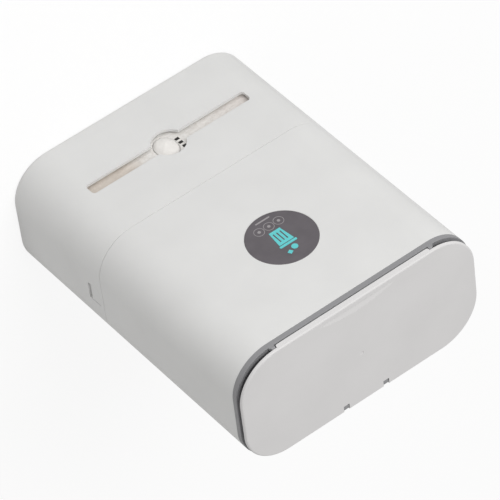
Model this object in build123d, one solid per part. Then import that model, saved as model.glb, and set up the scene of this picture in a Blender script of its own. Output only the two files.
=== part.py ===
"""Small waste bin with a tissue dispenser under it, standing upright.

Frame: X is the width, Y the depth with the front at -Y, Z up.
The origin is the middle of the footprint, on the resting surface. Millimetres.
"""
from build123d import *
import math
import os

# ---- Overall shape --------------------------------------------------------
WIDTH = 200.0             # outside, along X
DEPTH = 96.4              # outside, along Y
CORNER_RADIUS = 31.4      # upright corners of the shells
LID_CORNER_RADIUS = 33.4  # upright corners of the lid
BOX_HEIGHT = 101.0        # tissue box, from the resting surface to the seam
BIN_HEIGHT = 148.2        # bin wall, from the seam to its rim

# ---- Walls and clearances -------------------------------------------------
WALL = 2.2                # shell walls
FLOOR = 2.2               # floors of both shells
BASE_FILLET = 3.0         # rounding under the tissue box
EDGE_BREAK = 0.4          # small rounding on rims and seams
SEAM_GAP = 0.2            # hairline between stacked pieces
PLUG_CLEARANCE = 0.3      # between a plug skirt and the wall round it

# ---- Tissue slot ----------------------------------------------------------
SLOT_LENGTH = 137.0
SLOT_HEIGHT = 10.3
SLOT_Z = 52.8             # height of the slot's and the round hole's centre line
SLOT_END_RADIUS = 2.6
HOLE_RADIUS = 12.8

# ---- Plug skirt and snap catches under the bin ----------------------------
SKIRT_DEPTH = 11.0        # how far the plug skirt reaches below the seam
SKIRT_WALL = 1.8
CATCH_Y = 3.0             # middle of the catches along the side walls
CATCH_WIDTH = 14.0
CATCH_DROP = 4.4          # hook's upper face below the seam
CATCH_HEIGHT = 10.4       # height of the hook
CATCH_TONGUE_TAIL = 1.6   # tongue below the hook
CATCH_SLOT = 0.9          # saw cut on either side of the tongue
WINDOW_TOP_GAP = 0.3
WINDOW_SIDE_GAP = 0.4
WINDOW_BOTTOM_GAP = 1.9
HOOK_SINK = 0.15          # hook face below the outer face of the side wall
HOOK_CHAMFER = 1.2        # sloping nose that lets the hook ride in

# ---- Bag ring -------------------------------------------------------------
RING_BAND = 4.0           # height of the band that shows between bin and lid
RING_WALL = 1.8
RING_PLUG_DEPTH = 9.2     # how far the ring plugs into the bin
UPSTAND_TOP_GAP = 0.6     # between the upstand and the lid plate
UPSTAND_INSET = 4.5       # upstand's face from the sides and the front
UPSTAND_SWING_ROOM = 3.0  # between the hinge barrel and the upstand
STOP_WIDTH = 4.2          # wedge blocks at the two ends of the lid's lip
STOP_DEPTH = 2.0
STOP_TOP_GAP = 0.9        # between a block and the lid plate
STOP_GAP = 0.6            # between a block and the end of the lip
STOP_SLOPE = 1.8          # chamfer on a block's outer end
STOP_FRONT_CHAMFER = 0.8

# ---- Lid ------------------------------------------------------------------
LID_THICKNESS = 2.2
LID_GAP = 3.6             # dark line between the ring's band and the lid plate
LID_EDGE_FILLET = 1.3
LIP_WIDTH = 130.0
LIP_THICKNESS = 2.0
LIP_GAP = 1.1             # between the lip and the band of the ring
LIP_CORNER_RADIUS = 1.6   # lower corners of the lip
SCOOP_WIDTH = 66.0        # finger scoop in the front of the lid's top
SCOOP_FRONT = 4.2         # from the lid's front edge
SCOOP_REACH = 5.6         # along Y in the middle
SCOOP_DEPTH = 1.2
DIMPLE_RADIUS = 1.4
DIMPLE_DEPTH = 0.3
DIMPLE_Y = 3.0
SEAL_INSET = 2.5          # seal's outer face from the sides and the front
SEAL_SWING_ROOM = 0.3     # between the hinge barrel and the seal
SEAL_WIDTH = 1.5
SEAL_GAP = 1.0            # between the seal and the ring's band

# ---- Hinge ----------------------------------------------------------------
BARREL_GAP = 0.6          # between the barrel and the ring's band
BARREL_LENGTH = 29.6
BARREL_WEB = 1.0          # how far the plate reaches in past the barrel
EAR_SINK = 0.3            # ears below the lid's top and the back
EAR_WIDTH = 4.0
EAR_GAP = 0.4             # between the barrel and each ear
EAR_NOTCH_GAP = 0.5       # lid's notch round each ear
PIN_RADIUS = 1.0
PIN_CLEARANCE = 0.05      # running fit in the barrel and in the ears

# ---- Front label ----------------------------------------------------------
LABEL_RADIUS = 25.5
LABEL_DROP = 69.9         # label's centre below the rim
LABEL_THICKNESS = 0.25
PRINT_THICKNESS = 0.15
LABEL_SIDE_GAP = 0.2
RING_PITCH = 8.3          # three small printed rings under the sign
RING_RADIUS = 3.9
RING_LINE = 0.4
RING_DOT_RADIUS = 1.2
RING_DROP = 14.2          # their centres below the label's centre
BAR_DROP = 21.4           # plain printed bar below them
BAR_LENGTH = 12.0
BAR_HEIGHT = 1.2
BAR_END_RADIUS = 0.55
SIGN_RISE = 1.0           # sign's drawing centre above the label's centre
BASKET_TOP_WIDTH = 12.4
BASKET_BASE_WIDTH = 9.2
BASKET_HEIGHT = 14.0
BASKET_TOP = 4.5          # basket's upper edge above the sign's centre
SIGN_SLOT_WIDTH = 1.0     # three upright slots in the basket
SIGN_SLOT_LENGTH = 9.0
SIGN_SLOT_PITCH = 2.9
SIGN_RIM_WIDTH = 14.4
SIGN_RIM_HEIGHT = 2.0
SIGN_RIM_END_RADIUS = 0.9
SIGN_RIM_RISE = 1.7       # rim's middle above the basket's upper edge
BALL_RADIUS = 2.4
BALL_PLACE = (-1.4, 11.4)
SCRAP_SIZE = 3.0
SCRAP_PLACE = (4.0, 13.6)
SCRAP_TURN = 30.0

# ---- Tissue pack ----------------------------------------------------------
PACK_SIDE_ROOM = 9.0      # between the film and either side wall
PACK_HEAD_ROOM = 6.0      # between the film and the bin's floor
PACK_BACK_ROOM = 18.2     # between the film and the back wall
PACK_EDGE = 10.0          # rounding of the soft stack
PACK_BULGE_RADIUS = 620.0  # gentle bulge of its big faces
FILM_GAP = 0.3            # between the stack and its film
FILM_WALL = 0.5
FILM_FLOOR_GAP = 0.3      # between the film and the floor
FILM_FRONT_GAP = 1.3      # between the film and the slotted wall
TUFT_RADIUS = 11.0        # bunched end of the next sheet, in the round hole
TUFT_ROUNDING = 2.2
TUFT_SINK = 0.7           # tuft below the front face
FILM_OPENING_GAP = 1.2    # film's opening round the tuft

# ---- Derived places -------------------------------------------------------
FRONT_Y = -DEPTH / 2
BACK_Y = DEPTH / 2
SEAM_Z = BOX_HEIGHT
RIM_Z = SEAM_Z + BIN_HEIGHT
BIN_LOW_Z = SEAM_Z + SEAM_GAP / 2
BOX_TOP_Z = SEAM_Z - SEAM_GAP / 2
SKIRT_LOW_Z = SEAM_Z - SKIRT_DEPTH
BAND_LOW_Z = RIM_Z + SEAM_GAP / 2
BAND_TOP_Z = RIM_Z + RING_BAND
LID_LOW_Z = BAND_TOP_Z + LID_GAP
LID_TOP_Z = LID_LOW_Z + LID_THICKNESS
CATCH_TOP_Z = SEAM_Z - CATCH_DROP
LABEL_Z = RIM_Z - LABEL_DROP
UPSTAND_TOP_Z = LID_LOW_Z - UPSTAND_TOP_GAP
BARREL_RADIUS = (LID_GAP + LID_THICKNESS - BARREL_GAP) / 2
EAR_RADIUS = BARREL_RADIUS - EAR_SINK
UPSTAND_REAR_INSET = 2 * BARREL_RADIUS + UPSTAND_SWING_ROOM
SEAL_REAR_INSET = 2 * BARREL_RADIUS + SEAL_SWING_ROOM
HINGE_Y = BACK_Y - BARREL_RADIUS
HINGE_Z = LID_TOP_Z - BARREL_RADIUS
SKIRT_INSET = WALL + PLUG_CLEARANCE
LABEL_POCKET = LABEL_THICKNESS + PRINT_THICKNESS
PRINT_Y = FRONT_Y + PRINT_THICKNESS
SIDES = {"right": 1, "left": -1}


def front_plane(y, z):
    """The front wall's drawing plane: local X is +X, local Y is +Z, facing -Y."""
    return Plane(origin=(0, y, z), x_dir=(1, 0, 0), z_dir=(0, -1, 0))


def slab(low, high, side=0.0, front=0.0, rear=0.0, radius=None):
    """Rounded-rectangle slab, set in from the outer faces of the object."""
    if radius is None:
        radius = CORNER_RADIUS - side
    outline = RectangleRounded(WIDTH - 2 * side, DEPTH - front - rear, radius)
    return extrude(Pos(0, (front - rear) / 2, low) * outline, high - low)


def even_slab(low, high, inset):
    """Slab set in by the same amount all round."""
    return slab(low, high, inset, inset, inset)


def edges_at(solid, z):
    """Edges that lie flat at one height."""
    near = 1e-4
    return solid.edges().filter_by_position(Axis.Z, z - near, z + near)


def tissue_box():
    """Lower shell, open at the top, with the slot and the catch windows."""
    shell = even_slab(0, BOX_TOP_Z, 0)
    shell = fillet(edges_at(shell, 0), BASE_FILLET)
    shell = fillet(edges_at(shell, BOX_TOP_Z), EDGE_BREAK)
    shell -= even_slab(FLOOR, BOX_TOP_Z + 1, WALL)
    slot = RectangleRounded(SLOT_LENGTH, SLOT_HEIGHT, SLOT_END_RADIUS) + Circle(HOLE_RADIUS)
    cut = extrude(front_plane(FRONT_Y, SLOT_Z) * slot, amount=WALL, both=True)
    shell -= cut
    window_low = CATCH_TOP_Z - CATCH_HEIGHT - WINDOW_BOTTOM_GAP
    window_high = CATCH_TOP_Z + WINDOW_TOP_GAP
    window = Pos(0, CATCH_Y, (window_low + window_high) / 2) * Box(
        WIDTH + 2, CATCH_WIDTH + 2 * WINDOW_SIDE_GAP, window_high - window_low
    )
    return shell - window


def catch_blank(low, high, side_gap, thickness_out, thickness_in):
    """Block on both side walls at the catches, measured in from the sides."""
    width = CATCH_WIDTH + 2 * side_gap
    across = thickness_in - thickness_out
    place = WIDTH / 2 - (thickness_in + thickness_out) / 2
    block = Box(across, width, high - low)
    return {
        name: Pos(sign * place, CATCH_Y, (low + high) / 2) * block
        for name, sign in SIDES.items()
    }


def bin_body():
    """Upper shell with its own floor and the skirt that plugs into the box."""
    shell = even_slab(BIN_LOW_Z, RIM_Z, 0)
    shell = fillet(edges_at(shell, BIN_LOW_Z) + edges_at(shell, RIM_Z), EDGE_BREAK)
    shell -= even_slab(BIN_LOW_Z + FLOOR, RIM_Z + 1, WALL)
    skirt = even_slab(SKIRT_LOW_Z, BIN_LOW_Z, SKIRT_INSET)
    skirt -= even_slab(SKIRT_LOW_Z - 1, BIN_LOW_Z, SKIRT_INSET + SKIRT_WALL)
    gaps = catch_blank(SKIRT_LOW_Z - 1, BIN_LOW_Z, CATCH_SLOT, WALL, SKIRT_INSET + SKIRT_WALL + 1)
    for gap in gaps.values():
        skirt -= gap
    pocket = extrude(front_plane(FRONT_Y, LABEL_Z) * Circle(LABEL_RADIUS + LABEL_SIDE_GAP), -LABEL_POCKET)
    return shell + skirt - pocket


def snap_catch(side):
    """Springy tongue under the bin's floor, with a hook that fills its window."""
    hook_low = CATCH_TOP_Z - CATCH_HEIGHT
    tongue = catch_blank(hook_low - CATCH_TONGUE_TAIL, BIN_LOW_Z, 0, SKIRT_INSET, SKIRT_INSET + SKIRT_WALL)
    hook = catch_blank(hook_low, CATCH_TOP_Z, 0, HOOK_SINK, SKIRT_INSET)[side]
    sign = SIDES[side]
    nose = hook.edges().filter_by(Axis.Y).group_by(Axis.Z)[0].sort_by(Axis.X)
    hook = chamfer(nose[-1] if sign > 0 else nose[0], HOOK_CHAMFER)
    return tongue[side] + hook


def hinge_ears():
    """Two ears behind the upstand that carry the hinge pin."""
    ears = Part()
    place = BARREL_LENGTH / 2 + EAR_GAP + EAR_WIDTH / 2
    for sign in SIDES.values():
        post = Box(EAR_WIDTH, 2 * EAR_RADIUS, HINGE_Z - BAND_TOP_Z + 1)
        post = Pos(sign * place, HINGE_Y, (HINGE_Z + BAND_TOP_Z - 1) / 2) * post
        knob = Pos(sign * place, HINGE_Y, HINGE_Z) * Rot(0, 90, 0) * Cylinder(EAR_RADIUS, EAR_WIDTH)
        ears += post + knob
    return ears


def lip_stops():
    """Wedge blocks on the band, one beside each end of the lid's lip."""
    stops = Part()
    middle = LIP_WIDTH / 2 + STOP_GAP + STOP_WIDTH / 2
    height = LID_GAP - STOP_TOP_GAP
    for sign in SIDES.values():
        block = Pos(sign * middle, FRONT_Y + STOP_DEPTH / 2, BAND_TOP_Z + height / 2) * Box(
            STOP_WIDTH, STOP_DEPTH, height
        )
        outer = block.edges().filter_by(Axis.Y).group_by(Axis.Z)[-1].sort_by(Axis.X)
        block = chamfer(outer[-1] if sign > 0 else outer[0], STOP_SLOPE)
        front = block.edges().filter_by(Axis.X).group_by(Axis.Z)[-1].sort_by(Axis.Y)[0]
        stops += chamfer(front, STOP_FRONT_CHAMFER)
    return stops


def upstand(low, high, extra):
    """Solid loop shape of the ring's upstand, set in further by extra."""
    return slab(low, high, UPSTAND_INSET + extra, UPSTAND_INSET + extra, UPSTAND_REAR_INSET + extra)


def bag_ring():
    """Grey ring that holds the bag: a plug, a flush band and an upstand."""
    band = even_slab(BAND_LOW_Z, BAND_TOP_Z, 0)
    band = fillet(edges_at(band, BAND_TOP_Z), EDGE_BREAK)
    ring = band + upstand(BAND_LOW_Z, UPSTAND_TOP_Z, 0)
    ring += even_slab(RIM_Z - RING_PLUG_DEPTH, BAND_LOW_Z, SKIRT_INSET)
    ring -= upstand(BAND_LOW_Z, UPSTAND_TOP_Z + 1, RING_WALL)
    ring -= even_slab(RIM_Z - RING_PLUG_DEPTH - 1, BAND_LOW_Z, SKIRT_INSET + RING_WALL)
    ring += hinge_ears()
    ring += lip_stops()
    bore_length = BARREL_LENGTH + 2 * EAR_GAP + 2 * EAR_WIDTH + 2
    bore = Cylinder(PIN_RADIUS + PIN_CLEARANCE, bore_length)
    return ring - Pos(0, HINGE_Y, HINGE_Z) * Rot(0, 90, 0) * bore


def finger_scoop():
    """Crescent dish: steep at the front, running out to the rear."""
    half = SCOOP_WIDTH / 2
    rim_radius = (half**2 + SCOOP_REACH**2) / (2 * SCOOP_REACH)
    slope = math.atan2(SCOOP_DEPTH, SCOOP_REACH)
    ball_radius = rim_radius / math.sin(slope)
    front = FRONT_Y + SCOOP_FRONT
    ball = Pos(0, front + SCOOP_REACH - rim_radius, LID_TOP_Z + ball_radius * math.cos(slope)) * Sphere(
        ball_radius
    )
    room = Pos(0, front + SCOOP_REACH, LID_TOP_Z) * Box(SCOOP_WIDTH + 4, 2 * SCOOP_REACH, 2 * LID_THICKNESS)
    return ball & room


def lid():
    """Lid plate with its front lip, the finger scoop and the hinge barrel."""
    plate = slab(LID_LOW_Z, LID_TOP_Z, radius=LID_CORNER_RADIUS)
    lip_low = BAND_TOP_Z + LIP_GAP
    lip = Pos(0, FRONT_Y + LIP_THICKNESS / 2, (lip_low + LID_TOP_Z) / 2) * Box(
        LIP_WIDTH, LIP_THICKNESS, LID_TOP_Z - lip_low
    )
    lip = fillet(lip.edges().filter_by(Axis.Y).group_by(Axis.Z)[0], LIP_CORNER_RADIUS)
    body = plate + lip
    body = fillet(edges_at(body, LID_TOP_Z), LID_EDGE_FILLET)
    body -= finger_scoop()
    body -= Pos(0, DIMPLE_Y, LID_TOP_Z) * Cylinder(DIMPLE_RADIUS, 2 * DIMPLE_DEPTH)
    notch_width = EAR_WIDTH + EAR_GAP + EAR_NOTCH_GAP
    notch_depth = 2 * BARREL_RADIUS + EAR_NOTCH_GAP
    notch_middle = BARREL_LENGTH / 2 + notch_width / 2
    for sign in SIDES.values():
        body -= Pos(sign * notch_middle, BACK_Y - notch_depth / 2, LID_TOP_Z - LID_THICKNESS / 2) * Box(
            notch_width, notch_depth, LID_THICKNESS + 1
        )
    body += Pos(0, HINGE_Y, HINGE_Z) * Rot(0, 90, 0) * Cylinder(BARREL_RADIUS, BARREL_LENGTH)
    web_depth = BARREL_RADIUS + BARREL_WEB
    body += Pos(0, HINGE_Y - web_depth / 2, LID_LOW_Z + LID_THICKNESS / 2) * Box(
        BARREL_LENGTH, web_depth, LID_THICKNESS
    )
    bore = Cylinder(PIN_RADIUS + PIN_CLEARANCE, BARREL_LENGTH + 2)
    return body - Pos(0, HINGE_Y, HINGE_Z) * Rot(0, 90, 0) * bore


def lid_seal():
    """Dark soft strip under the lid, outside the ring's upstand."""
    low = BAND_TOP_Z + SEAL_GAP
    outer = slab(low, LID_LOW_Z, SEAL_INSET, SEAL_INSET, SEAL_REAR_INSET)
    grown = SEAL_INSET + SEAL_WIDTH
    return outer - slab(low - 1, LID_LOW_Z + 1, grown, grown, SEAL_REAR_INSET + SEAL_WIDTH)


def hinge_pin():
    length = BARREL_LENGTH + 2 * EAR_GAP + 2 * EAR_WIDTH
    return Pos(0, HINGE_Y, HINGE_Z) * Rot(0, 90, 0) * Cylinder(PIN_RADIUS, length)


def front_label():
    """Round disc in its shallow pocket."""
    back = FRONT_Y + LABEL_POCKET
    return extrude(front_plane(back, LABEL_Z) * Circle(LABEL_RADIUS), LABEL_THICKNESS)


def basket_sign():
    """Plain basket with a rim over it, and a ball and a scrap dropping in."""
    top = BASKET_TOP_WIDTH / 2
    base = BASKET_BASE_WIDTH / 2
    floor = BASKET_TOP - BASKET_HEIGHT
    basket = Polygon((top, BASKET_TOP), (-top, BASKET_TOP), (-base, floor), (base, floor), align=None)
    for place in (-SIGN_SLOT_PITCH, 0, SIGN_SLOT_PITCH):
        basket -= Pos(place, (BASKET_TOP + floor) / 2) * Rectangle(SIGN_SLOT_WIDTH, SIGN_SLOT_LENGTH)
    rim = RectangleRounded(SIGN_RIM_WIDTH, SIGN_RIM_HEIGHT, SIGN_RIM_END_RADIUS)
    rim = Pos(0, BASKET_TOP + SIGN_RIM_RISE) * rim
    ball = Pos(*BALL_PLACE) * Circle(BALL_RADIUS)
    scrap = Pos(*SCRAP_PLACE) * Rot(0, 0, SCRAP_TURN) * Rectangle(SCRAP_SIZE, SCRAP_SIZE)
    return basket + rim + ball + scrap


def front_print():
    """Printed sign on the disc."""
    return extrude(front_plane(PRINT_Y, LABEL_Z + SIGN_RISE) * basket_sign(), PRINT_THICKNESS)


def label_rings():
    """Three plain rings with a dot in each, and a plain bar under them."""
    ring = Circle(RING_RADIUS) - Circle(RING_RADIUS - RING_LINE) + Circle(RING_DOT_RADIUS)
    print_lines = Pos(0, -BAR_DROP) * RectangleRounded(BAR_LENGTH, BAR_HEIGHT, BAR_END_RADIUS)
    for place in (-RING_PITCH, 0, RING_PITCH):
        print_lines += Pos(place, -RING_DROP) * ring
    return extrude(front_plane(PRINT_Y, LABEL_Z) * print_lines, PRINT_THICKNESS)


def pack_form(grow):
    """Soft tissue stack with bulging big faces, grown evenly by grow."""
    film = FILM_WALL + FILM_GAP
    low = FLOOR + FILM_FLOOR_GAP + film
    high = BIN_LOW_Z - PACK_HEAD_ROOM - film
    half = WIDTH / 2 - WALL - PACK_SIDE_ROOM - film + grow
    bulge = PACK_BULGE_RADIUS + grow
    drop = bulge - math.sqrt(bulge**2 - half**2)
    near = FRONT_Y + WALL + FILM_FRONT_GAP + film - grow
    far = BACK_Y - WALL - PACK_BACK_ROOM - film + grow
    outline = Wire([
        ThreePointArc((-half, near + drop), (0, near), (half, near + drop)).edge(),
        Line((half, near + drop), (half, far - drop)).edge(),
        ThreePointArc((half, far - drop), (0, far), (-half, far - drop)).edge(),
        Line((-half, far - drop), (-half, near + drop)).edge(),
    ])
    block = extrude(Pos(0, 0, low - grow) * make_face(outline), high - low + 2 * grow)
    return fillet(block.edges(), PACK_EDGE + grow)


def tissue_stack():
    return pack_form(0)


def tissue_film():
    """Film round the stack, with a round opening at the front."""
    film = pack_form(FILM_GAP + FILM_WALL) - pack_form(FILM_GAP)
    opening = Circle(TUFT_RADIUS + FILM_OPENING_GAP)
    reach = WALL + FILM_FRONT_GAP + FILM_WALL + FILM_GAP
    return film - extrude(front_plane(FRONT_Y, SLOT_Z) * opening, -reach - 1)


def tissue_tuft():
    """Bunched end of the next sheet, a soft button standing in the round hole."""
    near = FRONT_Y + TUFT_SINK
    far = FRONT_Y + WALL + FILM_FRONT_GAP + FILM_WALL
    button = extrude(front_plane(far, SLOT_Z) * Circle(TUFT_RADIUS), far - near)
    rim = button.edges().group_by(Axis.Y)[0]
    return fillet(rim, TUFT_ROUNDING)


NODES = {
    "tissue_box": tissue_box,
    "bin_body": bin_body,
    "bag_ring": bag_ring,
    "lid": lid,
    "lid_seal": lid_seal,
    "hinge_pin": hinge_pin,
    "front_label": front_label,
    "front_print": front_print,
    "label_rings": label_rings,
    "tissue_stack": tissue_stack,
    "tissue_film": tissue_film,
    "tissue_tuft": tissue_tuft,
}

os.makedirs("parts", exist_ok=True)
for node, make in NODES.items():
    export_step(make(), f"parts/{node}.step")
for side_name in SIDES:
    export_step(snap_catch(side_name), f"parts/snap_catch_{side_name}.step")
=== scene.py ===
"""Finishes, soft pieces and studio of a small waste bin with a tissue dispenser.

Everything is in metres, in the bin's own frame: X is the width, the front is at -Y, Z is up.
"""
import math

import bmesh
import bpy
from bpy.props import (
    FloatProperty,
    FloatVectorProperty,
    IntProperty,
    PointerProperty,
)
from bpy.types import Operator, Panel, PropertyGroup
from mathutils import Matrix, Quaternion, Vector, noise


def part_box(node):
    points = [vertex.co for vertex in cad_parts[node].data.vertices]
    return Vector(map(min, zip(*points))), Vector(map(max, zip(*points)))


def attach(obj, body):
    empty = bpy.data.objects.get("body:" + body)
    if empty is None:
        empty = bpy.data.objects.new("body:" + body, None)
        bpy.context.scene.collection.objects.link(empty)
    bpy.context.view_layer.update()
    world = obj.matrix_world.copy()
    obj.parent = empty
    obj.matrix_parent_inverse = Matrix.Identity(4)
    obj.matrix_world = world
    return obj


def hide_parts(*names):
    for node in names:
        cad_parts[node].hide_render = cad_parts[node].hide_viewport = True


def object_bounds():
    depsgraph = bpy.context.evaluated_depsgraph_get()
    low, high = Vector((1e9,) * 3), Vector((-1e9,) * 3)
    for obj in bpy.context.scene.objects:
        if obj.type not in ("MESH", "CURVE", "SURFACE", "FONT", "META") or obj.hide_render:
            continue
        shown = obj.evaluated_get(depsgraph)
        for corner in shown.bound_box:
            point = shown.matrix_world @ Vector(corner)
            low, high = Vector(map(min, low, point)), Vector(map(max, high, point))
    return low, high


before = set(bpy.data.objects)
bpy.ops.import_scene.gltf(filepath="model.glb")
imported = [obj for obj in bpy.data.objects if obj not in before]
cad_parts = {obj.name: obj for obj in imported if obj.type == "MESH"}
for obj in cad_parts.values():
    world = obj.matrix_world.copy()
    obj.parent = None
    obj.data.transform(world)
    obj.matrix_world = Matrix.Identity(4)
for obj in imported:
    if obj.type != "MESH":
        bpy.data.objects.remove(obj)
CAD_LOW, CAD_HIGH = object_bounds()

bl_info = {
    "name": "Waste Bin Finishes",
    "version": (1, 0, 0),
    "blender": (4, 5, 0),
    "location": "View3D > Sidebar > Waste Bin",
    "description": "Finishes, tissue pack and studio for a small waste bin with a tissue dispenser",
    "category": "Object",
}

MM = 0.001
SOFT_EDGE = 10.5 * MM      # rounding of the film's edges
STACK_EDGE = 9 * MM        # rounding of the folded stack's edges
STACK_BULGE = 620 * MM     # radius of the bulge on the stack's big faces
FILM_BULGE = 6.0           # the film is pulled nearly flat
FILM_THICKNESS = 0.12 * MM
TUFT_THICKNESS = 0.2 * MM
STACK_STEP = 2.4 * MM      # spacing of the stack's mesh
SHEET_PITCH = 1.6 * MM     # one fold of tissue to the next
OPENING_GAP = 0.3 * MM     # film's torn edge to the tuft
FRONT_REACH = 5 * MM       # only film this near the front is opened
KEY_PLACE = (-0.45, -1.7, 1.75)
KEY_SIZE = 1.6
FLOOR_DROP = 0.05 * MM     # floor under the resting surface


# ---- Shared helpers for materials ---------------------------------------------

class Shading:
    """One material's node tree, with short calls for the nodes that it uses."""

    def __init__(self, name, colour, roughness):
        self.material = bpy.data.materials.new(name)
        self.material.use_nodes = True
        self.tree = self.material.node_tree
        self.shader = self.tree.nodes["Principled BSDF"]
        self.shader.inputs["Base Color"].default_value = (*colour, 1.0)
        self.shader.inputs["Roughness"].default_value = roughness
        self.place = self.node("ShaderNodeTexCoord").outputs["Object"]

    def node(self, kind, **settings):
        made = self.tree.nodes.new(kind)
        for key, value in settings.items():
            setattr(made, key, value)
        return made

    def link(self, source, target):
        self.tree.links.new(source, target)

    def math(self, operation, first, second=None):
        made = self.node("ShaderNodeMath", operation=operation)
        for socket, value in zip(made.inputs, (first, second)):
            if value is None:
                continue
            if isinstance(value, bpy.types.NodeSocket):
                self.link(value, socket)
            else:
                socket.default_value = value
        return made.outputs[0]

    def grain(self, size, detail=2.0, roughness=0.5, stretch=(1, 1, 1)):
        """Noise whose cells are about size across, in metres."""
        mapping = self.node("ShaderNodeMapping")
        mapping.inputs["Scale"].default_value = stretch
        self.link(self.place, mapping.inputs["Vector"])
        made = self.node("ShaderNodeTexNoise")
        made.inputs["Scale"].default_value = 1 / size
        made.inputs["Detail"].default_value = detail
        made.inputs["Roughness"].default_value = roughness
        self.link(mapping.outputs[0], made.inputs["Vector"])
        return made.outputs["Fac"]

    def cells(self, size, feature="F1"):
        made = self.node("ShaderNodeTexVoronoi", feature=feature)
        made.inputs["Scale"].default_value = 1 / size
        self.link(self.place, made.inputs["Vector"])
        return made.outputs["Distance"]

    def blend(self, factor, dark, light, low=0.3, high=0.7):
        """Colour that runs from dark to light as factor goes from low to high."""
        ramp = self.node("ShaderNodeValToRGB")
        ramp.color_ramp.elements[0].position = low
        ramp.color_ramp.elements[0].color = (*dark, 1.0)
        ramp.color_ramp.elements[1].position = high
        ramp.color_ramp.elements[1].color = (*light, 1.0)
        self.link(factor, ramp.inputs[0])
        return ramp.outputs[0]

    def mix(self, factor, first, second):
        made = self.node("ShaderNodeMix", data_type="RGBA")
        sockets = (made.inputs[0], made.inputs[6], made.inputs[7])
        for value, socket in zip((factor, first, second), sockets):
            if isinstance(value, bpy.types.NodeSocket):
                self.link(value, socket)
            else:
                socket.default_value = (*value, 1.0) if hasattr(value, "__len__") else value
        return made.outputs[2]

    def range(self, value, low, high, into_low, into_high):
        made = self.node("ShaderNodeMapRange")
        for socket, number in zip(list(made.inputs)[1:5], (low, high, into_low, into_high)):
            socket.default_value = number
        self.link(value, made.inputs[0])
        return made.outputs[0]

    def colour(self, socket):
        self.link(socket, self.shader.inputs["Base Color"])

    def roughness(self, socket):
        self.link(socket, self.shader.inputs["Roughness"])

    def bump(self, *layers):
        """Stacks (height socket, depth in metres) pairs into one normal."""
        normal = None
        for height, depth in layers:
            made = self.node("ShaderNodeBump")
            made.inputs["Distance"].default_value = depth
            self.link(height, made.inputs["Height"])
            if normal:
                self.link(normal, made.inputs["Normal"])
            normal = made.outputs[0]
        self.link(normal, self.shader.inputs["Normal"])


def scaled(colour, factor):
    return tuple(min(1.0, part * factor) for part in colour)


def moulded_plastic(name, colour, roughness, grain_size, grain_depth):
    """Satin moulding: spark-eroded grain, faint flow clouds and uneven gloss."""
    look = Shading(name, colour, roughness)
    clouds = look.grain(45 * MM, detail=3)
    look.colour(look.blend(clouds, scaled(colour, 0.975), scaled(colour, 1.02)))
    polish = look.grain(18 * MM, detail=4, roughness=0.65)
    look.roughness(look.range(polish, 0.3, 0.7, roughness - 0.05, roughness + 0.06))
    fine = look.grain(grain_size, detail=3, roughness=0.7)
    sink = look.grain(30 * MM, detail=1)
    look.bump((sink, 0.06 * MM), (fine, grain_depth))
    look.shader.inputs["Specular IOR Level"].default_value = 0.45
    return look.material


def dress(node, material):
    """Puts one material on every slot of a CAD node's object."""
    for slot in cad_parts[node].material_slots:
        slot.material = material


def add_piece(name, mesh_builder, material, body, replaced):
    """Makes an object from a bmesh, puts it on its body and hides what it stands for."""
    mesh = bpy.data.meshes.new(name)
    mesh_builder.to_mesh(mesh)
    mesh_builder.free()
    piece = bpy.data.objects.new(name, mesh)
    bpy.context.scene.collection.objects.link(piece)
    mesh.materials.append(material)
    mesh.polygons.foreach_set("use_smooth", [True] * len(mesh.polygons))
    mesh.update()
    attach(piece, body)
    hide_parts(replaced)
    return piece


# ---- Sizes and colours that a user would change ---------------------------------

def colour_setting(name, description, default):
    return FloatVectorProperty(
        name=name, description=description, default=default, size=3, min=0, max=1, subtype="COLOR"
    )


def length_setting(name, description, default):
    return FloatProperty(
        name=name, description=description, default=default, min=0, unit="LENGTH", precision=5
    )


class ShellSettings(PropertyGroup):
    shell: colour_setting("Shell", "Colour of the bin and of the tissue box", (0.79, 0.79, 0.783))
    lid: colour_setting("Lid", "Colour of the lid", (0.775, 0.765, 0.765))
    roughness: FloatProperty(
        name="Roughness", description="Gloss of the shells", default=0.42, min=0, max=1
    )
    grain: length_setting("Grain", "Width of the moulding grain", 0.45 * MM)
    grain_depth: length_setting("Grain depth", "Depth of the moulding grain", 0.012 * MM)


class RingSettings(PropertyGroup):
    ring: colour_setting("Ring", "Colour of the bag ring", (0.30, 0.30, 0.31))
    # Seal: near black, partly the strip's own colour and partly painted shade of the gap between ring and
    # lid.
    seal: colour_setting("Seal", "Colour of the strip under the lid", (0.016, 0.016, 0.018))
    pin: colour_setting("Pin", "Colour of the hinge pin", (0.6, 0.6, 0.61))


class LabelSettings(PropertyGroup):
    disc: colour_setting("Disc", "Colour of the round label", (0.118, 0.106, 0.118))
    sign: colour_setting("Sign", "Colour of the printed sign", (0.13, 0.66, 0.68))
    fine_print: colour_setting("Rings", "Colour of the small printed rings", (0.36, 0.34, 0.35))


class TissueSettings(PropertyGroup):
    tissue: colour_setting("Tissue", "Colour of the tissues", (0.90, 0.875, 0.845))
    film_white: colour_setting(
        "Film, white part", "Colour of the film round its opening", (0.92, 0.905, 0.88)
    )
    # Tan part of the film: partly its print, partly painted shade.
    film_tan_and_shade: colour_setting("Film, tan part", "Colour of the film towards one end", (0.76, 0.685, 0.61))
    tuft_shift: length_setting(
        "Tuft shift", "Tuft's middle off the middle of the hole, towards +X", 2.6 * MM
    )
    tuft_half_width: length_setting("Tuft half width", "Tuft's middle to its side", 8.4 * MM)
    film_pink: colour_setting(
        "Film, pale part", "Colour of the film towards the other end", (0.90, 0.845, 0.81)
    )
    dash: colour_setting("Tear line", "Colour of the dashes round the opening", (0.012, 0.011, 0.010))
    crinkle: length_setting("Crinkle", "Height of the film's crinkles", 0.55 * MM)
    mesh_step: length_setting("Mesh step", "Spacing of the film's mesh", 1.3 * MM)


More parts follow.
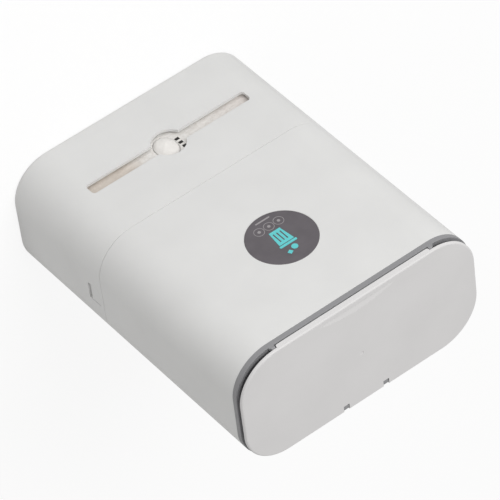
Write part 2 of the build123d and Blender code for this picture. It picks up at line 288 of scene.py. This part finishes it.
class StudioSettings(PropertyGroup):
    azimuth: FloatProperty(
        name="Azimuth", description="Camera round the bin, from its front towards +X",
        default=math.radians(28.0), subtype="ANGLE", unit="ROTATION",
    )
    elevation: FloatProperty(
        name="Elevation", description="Camera above the horizon",
        default=math.radians(36.46), subtype="ANGLE", unit="ROTATION",
    )
    roll: FloatProperty(
        name="Roll", description="Camera turned about its own axis",
        default=math.radians(130.41), subtype="ANGLE", unit="ROTATION",
    )
    distance: length_setting("Distance", "Camera from the point that it aims at", 2.901)
    aim: FloatVectorProperty(
        name="Aim", description="Point that the camera looks at",
        default=(-0.0029, 0.0006, 0.1331), size=3, subtype="TRANSLATION", unit="LENGTH",
    )
    lens: FloatProperty(name="Lens", description="Focal length in millimetres", default=303.9, min=1)
    key: FloatProperty(
        name="Key light", description="Strength of the large front light", default=0.49, min=0
    )
    surroundings: FloatProperty(
        name="Surroundings", description="Strength of the pale room round the bin", default=0.5, min=0
    )
    floor_size: length_setting("Floor", "Width of the floor", 14.0)


# ---- Shells ----------------------------------------------------------------------

class WASTEBIN_OT_finish_shells(Operator):
    """Give the bin, the tissue box and the snap catches their white moulded finish"""

    bl_idname = "waste_bin.finish_shells"
    bl_label = "Finish Shells"

    def execute(self, context):
        made = context.scene.waste_bin_shells
        white = moulded_plastic("shell_white", made.shell, made.roughness, made.grain, made.grain_depth)
        for node in ("tissue_box", "bin_body", "snap_catch_left", "snap_catch_right"):
            dress(node, white)
        return {"FINISHED"}


class WASTEBIN_OT_finish_lid(Operator):
    """Give the lid its finish"""

    bl_idname = "waste_bin.finish_lid"
    bl_label = "Finish Lid"

    def execute(self, context):
        made = context.scene.waste_bin_shells
        roughness = made.roughness + 0.02
        dress("lid", moulded_plastic("lid_white", made.lid, roughness, made.grain, made.grain_depth))
        return {"FINISHED"}


class WASTEBIN_OT_finish_ring(Operator):
    """Give the bag ring, the seal and the hinge pin their finishes"""

    bl_idname = "waste_bin.finish_ring"
    bl_label = "Finish Ring and Hinge"

    def execute(self, context):
        made = context.scene.waste_bin_ring
        dress("bag_ring", moulded_plastic("ring_grey", made.ring, 0.45, 0.5 * MM, 0.015 * MM))
        dress("lid_seal", self.rubber_and_gap_shade(made.seal))
        dress("hinge_pin", self.drawn_wire(made.pin))
        return {"FINISHED"}

    def rubber_and_gap_shade(self, colour):
        # Near-black strip under the lid: partly the rubber's own colour, partly painted shade of the gap
        # between ring and lid.
        look = Shading("seal_rubber_and_gap_shade", colour, 0.75)
        dust = look.grain(6 * MM, detail=5, roughness=0.7)
        look.colour(look.blend(dust, colour, scaled(colour, 1.8)))
        look.bump((look.grain(0.35 * MM, detail=2), 0.02 * MM))
        return look.material

    def drawn_wire(self, colour):
        look = Shading("pin_steel", colour, 0.3)
        look.shader.inputs["Metallic"].default_value = 1.0
        drawn = look.grain(0.2 * MM, detail=3, stretch=(0.02, 1, 1))
        look.roughness(look.range(drawn, 0.3, 0.7, 0.22, 0.42))
        look.bump((drawn, 0.004 * MM))
        return look.material


# ---- Label -----------------------------------------------------------------------

class WASTEBIN_OT_finish_label(Operator):
    """Give the round label and its printing their finishes"""

    bl_idname = "waste_bin.finish_label"
    bl_label = "Finish Label"

    def execute(self, context):
        made = context.scene.waste_bin_label
        dress("front_label", self.laminate(made.disc))
        dress("front_print", self.ink("sign_ink", made.sign))
        dress("label_rings", self.ink("fine_ink", made.fine_print))
        return {"FINISHED"}

    def laminate(self, colour):
        look = Shading("label_laminate", colour, 0.38)
        clouds = look.grain(12 * MM, detail=3)
        look.colour(look.blend(clouds, scaled(colour, 0.9), scaled(colour, 1.12)))
        peel = look.grain(1.4 * MM, detail=2)
        look.roughness(look.range(peel, 0.3, 0.7, 0.34, 0.44))
        look.bump((peel, 0.008 * MM))
        return look.material

    def ink(self, name, colour):
        look = Shading(name, colour, 0.4)
        speckle = look.grain(0.5 * MM, detail=3)
        look.colour(look.blend(speckle, scaled(colour, 0.93), scaled(colour, 1.05)))
        look.bump((look.grain(0.9 * MM), 0.004 * MM))
        return look.material


# ---- Tissue pack -------------------------------------------------------------------

def soft_block(low, high, edge, bulge, step):
    """Rounded block whose front and back bulge, as a fine quad mesh."""
    half = (high - low) / 2
    middle = (high + low) / 2
    counts = [max(4, round(2 * part / step)) for part in half]
    made = bmesh.new()
    seen = {}

    def corner(index):
        if index not in seen:
            raw = Vector(half[axis] * (2 * index[axis] / counts[axis] - 1) for axis in range(3))
            core = Vector(max(-h + edge, min(h - edge, part)) for part, h in zip(raw, half))
            out = raw - core
            point = core + out.normalized() * edge if out.length > 1e-9 else raw
            point.y *= 1 - (bulge - math.sqrt(bulge**2 - point.x**2)) / half.y
            seen[index] = made.verts.new(point + middle)
        return seen[index]

    for axis in range(3):
        first, second = (axis + 1) % 3, (axis + 2) % 3
        for end in (0, counts[axis]):
            for i in range(counts[first]):
                for j in range(counts[second]):
                    ring = []
                    for di, dj in ((0, 0), (1, 0), (1, 1), (0, 1)):
                        index = [0, 0, 0]
                        index[axis] = end
                        index[first] = i + di
                        index[second] = j + dj
                        ring.append(corner(tuple(index)))
                    made.faces.new(ring if end else ring[::-1])
    made.normal_update()
    return made


def ridge(point, size, skew):
    """Sharp creases: 1 on a crease, near 0 between creases."""
    turned = Vector((point.x + skew * point.z, point.y, point.z - skew * point.x)) / size
    return (1 - abs(noise.noise(turned))) ** 6


def crinkle(mesh, height):
    """Pushes the film in and out along its normals like thin crinkled film."""
    for vert in mesh.verts:
        place = vert.co
        soft = noise.noise(place / (24 * MM)) * 0.5
        sharp = ridge(place, 17 * MM, 0.55) * 0.6 + ridge(place, 8 * MM, -0.8) * 0.35
        fine = noise.noise(place / (3.2 * MM)) * 0.15
        vert.co = place + vert.normal * height * (soft + sharp + fine - 0.55)
    mesh.normal_update()


def cut_oval_opening(mesh, centre, half_x, half_z, front_y):
    """Opens the front of the film and draws the torn edge onto an oval."""
    def share(point):
        return math.hypot((point.x - centre.x) / half_x, (point.z - centre.z) / half_z)

    inside = []
    for face in mesh.faces:
        where = face.calc_center_median()
        if where.y < front_y and share(where) < 1:
            inside.append(face)
    bmesh.ops.delete(mesh, geom=inside, context="FACES")
    for vert in mesh.verts:
        if not vert.is_boundary:
            continue
        turn = math.atan2(vert.co.z - centre.z, vert.co.x - centre.x)
        grow = (1 + 0.012 * math.sin(24 * turn)) / share(vert.co)
        vert.co.x = centre.x + (vert.co.x - centre.x) * grow
        vert.co.z = centre.z + (vert.co.z - centre.z) * grow
    mesh.normal_update()


def tuft_oval(made):
    """Middle and half sizes of the tuft, inside its CAD solid."""
    low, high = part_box("tissue_tuft")
    centre = Vector(((high.x + low.x) / 2 + made.tuft_shift, 0, (high.z + low.z) / 2))
    return centre, made.tuft_half_width, (high.z - low.z) / 2 - 0.2 * MM


class WASTEBIN_OT_wrap_film(Operator):
    """Build the crinkled film round the tissues, open at the round hole"""

    bl_idname = "waste_bin.wrap_film"
    bl_label = "Wrap Film"

    def execute(self, context):
        made = context.scene.waste_bin_tissue
        low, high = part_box("tissue_film")
        inset = Vector((0.2, 0.2, 0.2)) * MM
        film = soft_block(low + inset, high - inset, SOFT_EDGE, FILM_BULGE, made.mesh_step)
        crinkle(film, made.crinkle)
        centre, half_x, half_z = tuft_oval(made)
        cut_oval_opening(film, centre, half_x + OPENING_GAP, half_z + OPENING_GAP, low.y + FRONT_REACH)
        material = self.film(made, centre.z)
        piece = add_piece("tissue_film_crinkled", film, material, "dispenser", "tissue_film")
        thick = piece.modifiers.new("film_thickness", "SOLIDIFY")
        thick.thickness = FILM_THICKNESS
        thick.offset = -1
        return {"FINISHED"}

    def film(self, made, centre_z):
        """Glossy printed film: white round the opening, tan one way and pale the other. The tan towards
        +X is partly print and partly painted shade.
        """
        look = Shading("pack_film", made.film_white, 0.34)
        apart = look.node("ShaderNodeSeparateXYZ")
        look.link(look.place, apart.inputs[0])
        uneven = look.grain(14 * MM, detail=3)
        wander = look.math("MULTIPLY", look.math("SUBTRACT", uneven, 0.5), 22 * MM)
        along = look.math("ADD", apart.outputs["X"], wander)
        # Mask of the tan part towards +X, which is partly print and partly painted shade.
        tan = look.range(along, 16 * MM, 34 * MM, 0.0, 1.0)
        pink = look.range(along, -70 * MM, -16 * MM, 1.0, 0.0)
        # Print colours, with painted shade in the tan part.
        printed = look.mix(tan, made.film_white, made.film_tan_and_shade)
        printed = look.mix(pink, printed, made.film_pink)
        across = look.math("ABSOLUTE", look.math("ADD", apart.outputs["X"], 8.3 * MM))
        beside = look.math("LESS_THAN", across, 1.7 * MM)
        up = look.math("DIVIDE", look.math("SUBTRACT", apart.outputs["Z"], centre_z - 3.4 * MM), 4.5 * MM)
        dash = look.math("LESS_THAN", look.math("FRACT", up), 0.56)
        held = look.math("MULTIPLY", look.math("GREATER_THAN", up, 0.0), look.math("LESS_THAN", up, 2.9))
        marks = look.math("MULTIPLY", look.math("MULTIPLY", dash, held), beside)
        mottle = look.grain(4 * MM, detail=4, roughness=0.65)
        worn = look.mix(look.range(mottle, 0.35, 0.65, 0.0, 0.35), printed, scaled(made.film_tan_and_shade, 0.8))
        look.colour(look.mix(marks, worn, made.dash))
        fold = look.grain(5 * MM, detail=5, roughness=0.6, stretch=(0.6, 1, 1.4))
        look.roughness(look.range(fold, 0.3, 0.7, 0.26, 0.44))
        look.bump((fold, 0.35 * MM), (look.cells(4.5 * MM, "DISTANCE_TO_EDGE"), 0.2 * MM))
        return look.material


def tissue_paper(name, colour):
    """Soft two-ply paper: embossed dots, loose fibres and a little sheen."""
    look = Shading(name, colour, 0.92)
    clouds = look.grain(9 * MM, detail=4, roughness=0.6)
    look.colour(look.blend(clouds, scaled(colour, 0.95), scaled(colour, 1.04)))
    dots = look.range(look.cells(1.7 * MM), 0.0, 0.6, 1.0, 0.0)
    fibre = look.grain(0.35 * MM, detail=4, roughness=0.75, stretch=(1, 1, 0.35))
    look.bump((dots, 0.08 * MM), (fibre, 0.05 * MM))
    look.shader.inputs["Sheen Weight"].default_value = 0.25
    look.shader.inputs["Sheen Roughness"].default_value = 0.6
    return look.material


class WASTEBIN_OT_fold_tissues(Operator):
    """Build the stack of folded tissues inside the film"""

    bl_idname = "waste_bin.fold_tissues"
    bl_label = "Fold Tissues"

    def execute(self, context):
        made = context.scene.waste_bin_tissue
        low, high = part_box("tissue_stack")
        inset = Vector((0.9, 0.9, 0.9)) * MM
        stack = soft_block(low + inset, high - inset, STACK_EDGE, STACK_BULGE, STACK_STEP)
        for vert in stack.verts:
            layer = math.sin(2 * math.pi * vert.co.y / SHEET_PITCH) * (1 - abs(vert.normal.y))
            sag = noise.noise(vert.co / (30 * MM))
            vert.co += vert.normal * (0.15 * layer + 0.3 * sag - 0.2) * MM
        stack.normal_update()
        material = tissue_paper("tissue_folded", made.tissue)
        add_piece("tissue_stack_folded", stack, material, "dispenser", "tissue_stack")
        return {"FINISHED"}


class WASTEBIN_OT_bunch_tuft(Operator):
    """Build the bunched end of the next sheet in the round hole"""

    bl_idname = "waste_bin.bunch_tuft"
    bl_label = "Bunch Tuft"

    rounds: IntProperty(
        name="Rounds", description="Mesh rounds from the middle to the rim", default=30, min=8
    )
    spokes: IntProperty(name="Spokes", description="Mesh spokes round the tuft", default=120, min=24)

    def execute(self, context):
        made = context.scene.waste_bin_tissue
        low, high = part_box("tissue_tuft")
        oval = tuft_oval(made)
        tuft = bmesh.new()
        rows = []
        for i in range(1, self.rounds + 1):
            out = i / self.rounds
            row = []
            for j in range(self.spokes):
                turn = 2 * math.pi * j / self.spokes
                row.append(tuft.verts.new(self.point(out, turn, oval, low.y, high.y)))
            rows.append(row)
        middle = tuft.verts.new(self.point(0.0, 0.0, oval, low.y, high.y))
        for j in range(self.spokes):
            after = (j + 1) % self.spokes
            tuft.faces.new((middle, rows[0][j], rows[0][after]))
            for inner, outer in zip(rows, rows[1:]):
                tuft.faces.new((inner[j], outer[j], outer[after], inner[after]))
        bmesh.ops.recalc_face_normals(tuft, faces=tuft.faces)
        area = sum(face.calc_area() for face in tuft.faces)
        material = tissue_paper("tissue_tuft", made.tissue)
        piece = add_piece("tissue_tuft_bunched", tuft, material, "dispenser", "tissue_tuft")
        thick = piece.modifiers.new("two_ply", "SOLIDIFY")
        thick.thickness = TUFT_THICKNESS
        thick.offset = 0
        return {"FINISHED"}

    def point(self, out, turn, oval, front, back):
        """Domed front that runs back to its rim, with soft creases from an off-centre fold."""
        centre, half_x, half_z = oval
        flat = Vector((out * half_x * math.cos(turn), 0, out * half_z * math.sin(turn)))
        crease = ridge(flat + Vector((0.03, 0, 0.01)), 9 * MM, 0.9) * 0.35
        wave = noise.noise(flat / (5.5 * MM) + Vector((3.1, 0, 0))) * 0.3
        lift = (crease + wave) * MM * (1 - out**4)
        dome = (back - front - 0.6 * MM) * out**2.6
        drop = max(0.1 * MM, 0.45 * MM + dome - lift)
        return centre + flat + Vector((0, min(front + drop, back - 0.15 * MM), 0))


# ---- Studio ------------------------------------------------------------------------

class WASTEBIN_OT_build_stage(Operator):
    """Set up the floor, the surroundings, the key light and the camera"""

    bl_idname = "waste_bin.build_stage"
    bl_label = "Build Stage"

    def execute(self, context):
        made = context.scene.waste_bin_studio
        self.floor(made)
        self.surroundings(context.scene, made)
        self.light("key_light", Vector(KEY_PLACE), KEY_SIZE, made.key)
        self.camera(context.scene, made)
        context.scene.view_settings.view_transform = "Standard"
        return {"FINISHED"}

    def floor(self, made):
        half = made.floor_size / 2
        sheet = bmesh.new()
        bmesh.ops.create_grid(sheet, x_segments=12, y_segments=12, size=half)
        mesh = bpy.data.meshes.new("floor")
        sheet.to_mesh(mesh)
        sheet.free()
        floor = bpy.data.objects.new("floor", mesh)
        floor.location.z = CAD_LOW.z - FLOOR_DROP
        bpy.context.scene.collection.objects.link(floor)
        mesh.materials.append(self.paper_white())

    def paper_white(self):
        """White paper sweep that shows nearly white and keeps the bin's soft shadow."""
        look = Shading("floor_paper", (0.86, 0.86, 0.86), 0.9)
        tooth = look.grain(2 * MM, detail=3)
        look.colour(look.blend(tooth, (0.85, 0.85, 0.85), (0.88, 0.88, 0.88)))
        look.bump((tooth, 0.02 * MM))
        glow = look.node("ShaderNodeEmission")
        glow.inputs["Color"].default_value = (1, 1, 1, 1)
        glow.inputs["Strength"].default_value = 1.06
        seen = look.node("ShaderNodeLightPath").outputs["Is Camera Ray"]
        share = look.math("MULTIPLY", seen, 0.8)
        both = look.node("ShaderNodeMixShader")
        look.link(share, both.inputs[0])
        look.link(look.shader.outputs[0], both.inputs[1])
        look.link(glow.outputs[0], both.inputs[2])
        look.link(both.outputs[0], look.tree.nodes["Material Output"].inputs["Surface"])
        return look.material

    def surroundings(self, scene, made):
        """Pale even room for light and reflections, plain white to the camera."""
        world = bpy.data.worlds.new("pale_room")
        scene.world = world
        world.use_nodes = True
        tree = world.node_tree
        room = tree.nodes["Background"]
        room.inputs["Color"].default_value = (1.0, 0.995, 0.985, 1)
        room.inputs["Strength"].default_value = made.surroundings
        white = tree.nodes.new("ShaderNodeBackground")
        white.inputs["Strength"].default_value = 1.0
        seen = tree.nodes.new("ShaderNodeLightPath").outputs["Is Camera Ray"]
        both = tree.nodes.new("ShaderNodeMixShader")
        tree.links.new(seen, both.inputs[0])
        tree.links.new(room.outputs[0], both.inputs[1])
        tree.links.new(white.outputs[0], both.inputs[2])
        tree.links.new(both.outputs[0], tree.nodes["World Output"].inputs["Surface"])

    def light(self, name, place, size, strength):
        """Square softbox that faces the bin. At strength 1 a white face towards it renders white."""
        data = bpy.data.lights.new(name, "AREA")
        data.size = size
        aim = Vector((0, 0, CAD_HIGH.z / 2))
        away = place - aim
        data.energy = strength * math.pi**2 * away.length_squared
        lamp = bpy.data.objects.new(name, data)
        lamp.location = place
        lamp.rotation_mode = "QUATERNION"
        lamp.rotation_quaternion = away.to_track_quat("Z", "Y")
        bpy.context.scene.collection.objects.link(lamp)

    def camera(self, scene, made):
        data = bpy.data.cameras.new("camera")
        data.lens = made.lens
        data.sensor_width = 36.0
        data.clip_end = 50.0
        camera = bpy.data.objects.new("camera", data)
        flat = math.cos(made.elevation)
        back = Vector((
            math.sin(made.azimuth) * flat, -math.cos(made.azimuth) * flat, math.sin(made.elevation)
        ))
        camera.location = Vector(made.aim) + back * made.distance
        camera.rotation_mode = "QUATERNION"
        level = (-back).to_track_quat("-Z", "Y")
        camera.rotation_quaternion = level @ Quaternion((0, 0, 1), made.roll)
        scene.collection.objects.link(camera)
        scene.camera = camera


# ---- Panel and registration ----------------------------------------------------------

STEPS = (
    WASTEBIN_OT_build_stage,
    WASTEBIN_OT_finish_shells,
    WASTEBIN_OT_finish_lid,
    WASTEBIN_OT_finish_ring,
    WASTEBIN_OT_finish_label,
    WASTEBIN_OT_fold_tissues,
    WASTEBIN_OT_wrap_film,
    WASTEBIN_OT_bunch_tuft,
)

SETTINGS = {
    "waste_bin_shells": ShellSettings,
    "waste_bin_ring": RingSettings,
    "waste_bin_label": LabelSettings,
    "waste_bin_tissue": TissueSettings,
    "waste_bin_studio": StudioSettings,
}


class WASTEBIN_PT_steps(Panel):
    """Lists the steps and the settings of the waste bin"""

    bl_idname = "WASTEBIN_PT_steps"
    bl_label = "Waste Bin"
    bl_space_type = "VIEW_3D"
    bl_region_type = "UI"
    bl_category = "Waste Bin"

    def draw(self, context):
        layout = self.layout
        for step in STEPS:
            layout.operator(step.bl_idname)
        for group in SETTINGS:
            box = layout.box()
            settings = getattr(context.scene, group)
            for name in settings.__annotations__:
                box.prop(settings, name)


def register():
    for made in (*SETTINGS.values(), *STEPS, WASTEBIN_PT_steps):
        bpy.utils.register_class(made)
    for name, group in SETTINGS.items():
        setattr(bpy.types.Scene, name, PointerProperty(type=group))


def unregister():
    for name in SETTINGS:
        delattr(bpy.types.Scene, name)
    for made in (WASTEBIN_PT_steps, *reversed(STEPS), *reversed(SETTINGS.values())):
        bpy.utils.unregister_class(made)


def main():
    register()
    for step in STEPS:
        group, name = step.bl_idname.split(".")
        getattr(getattr(bpy.ops, group), name)()


if __name__ == "__main__":
    main()
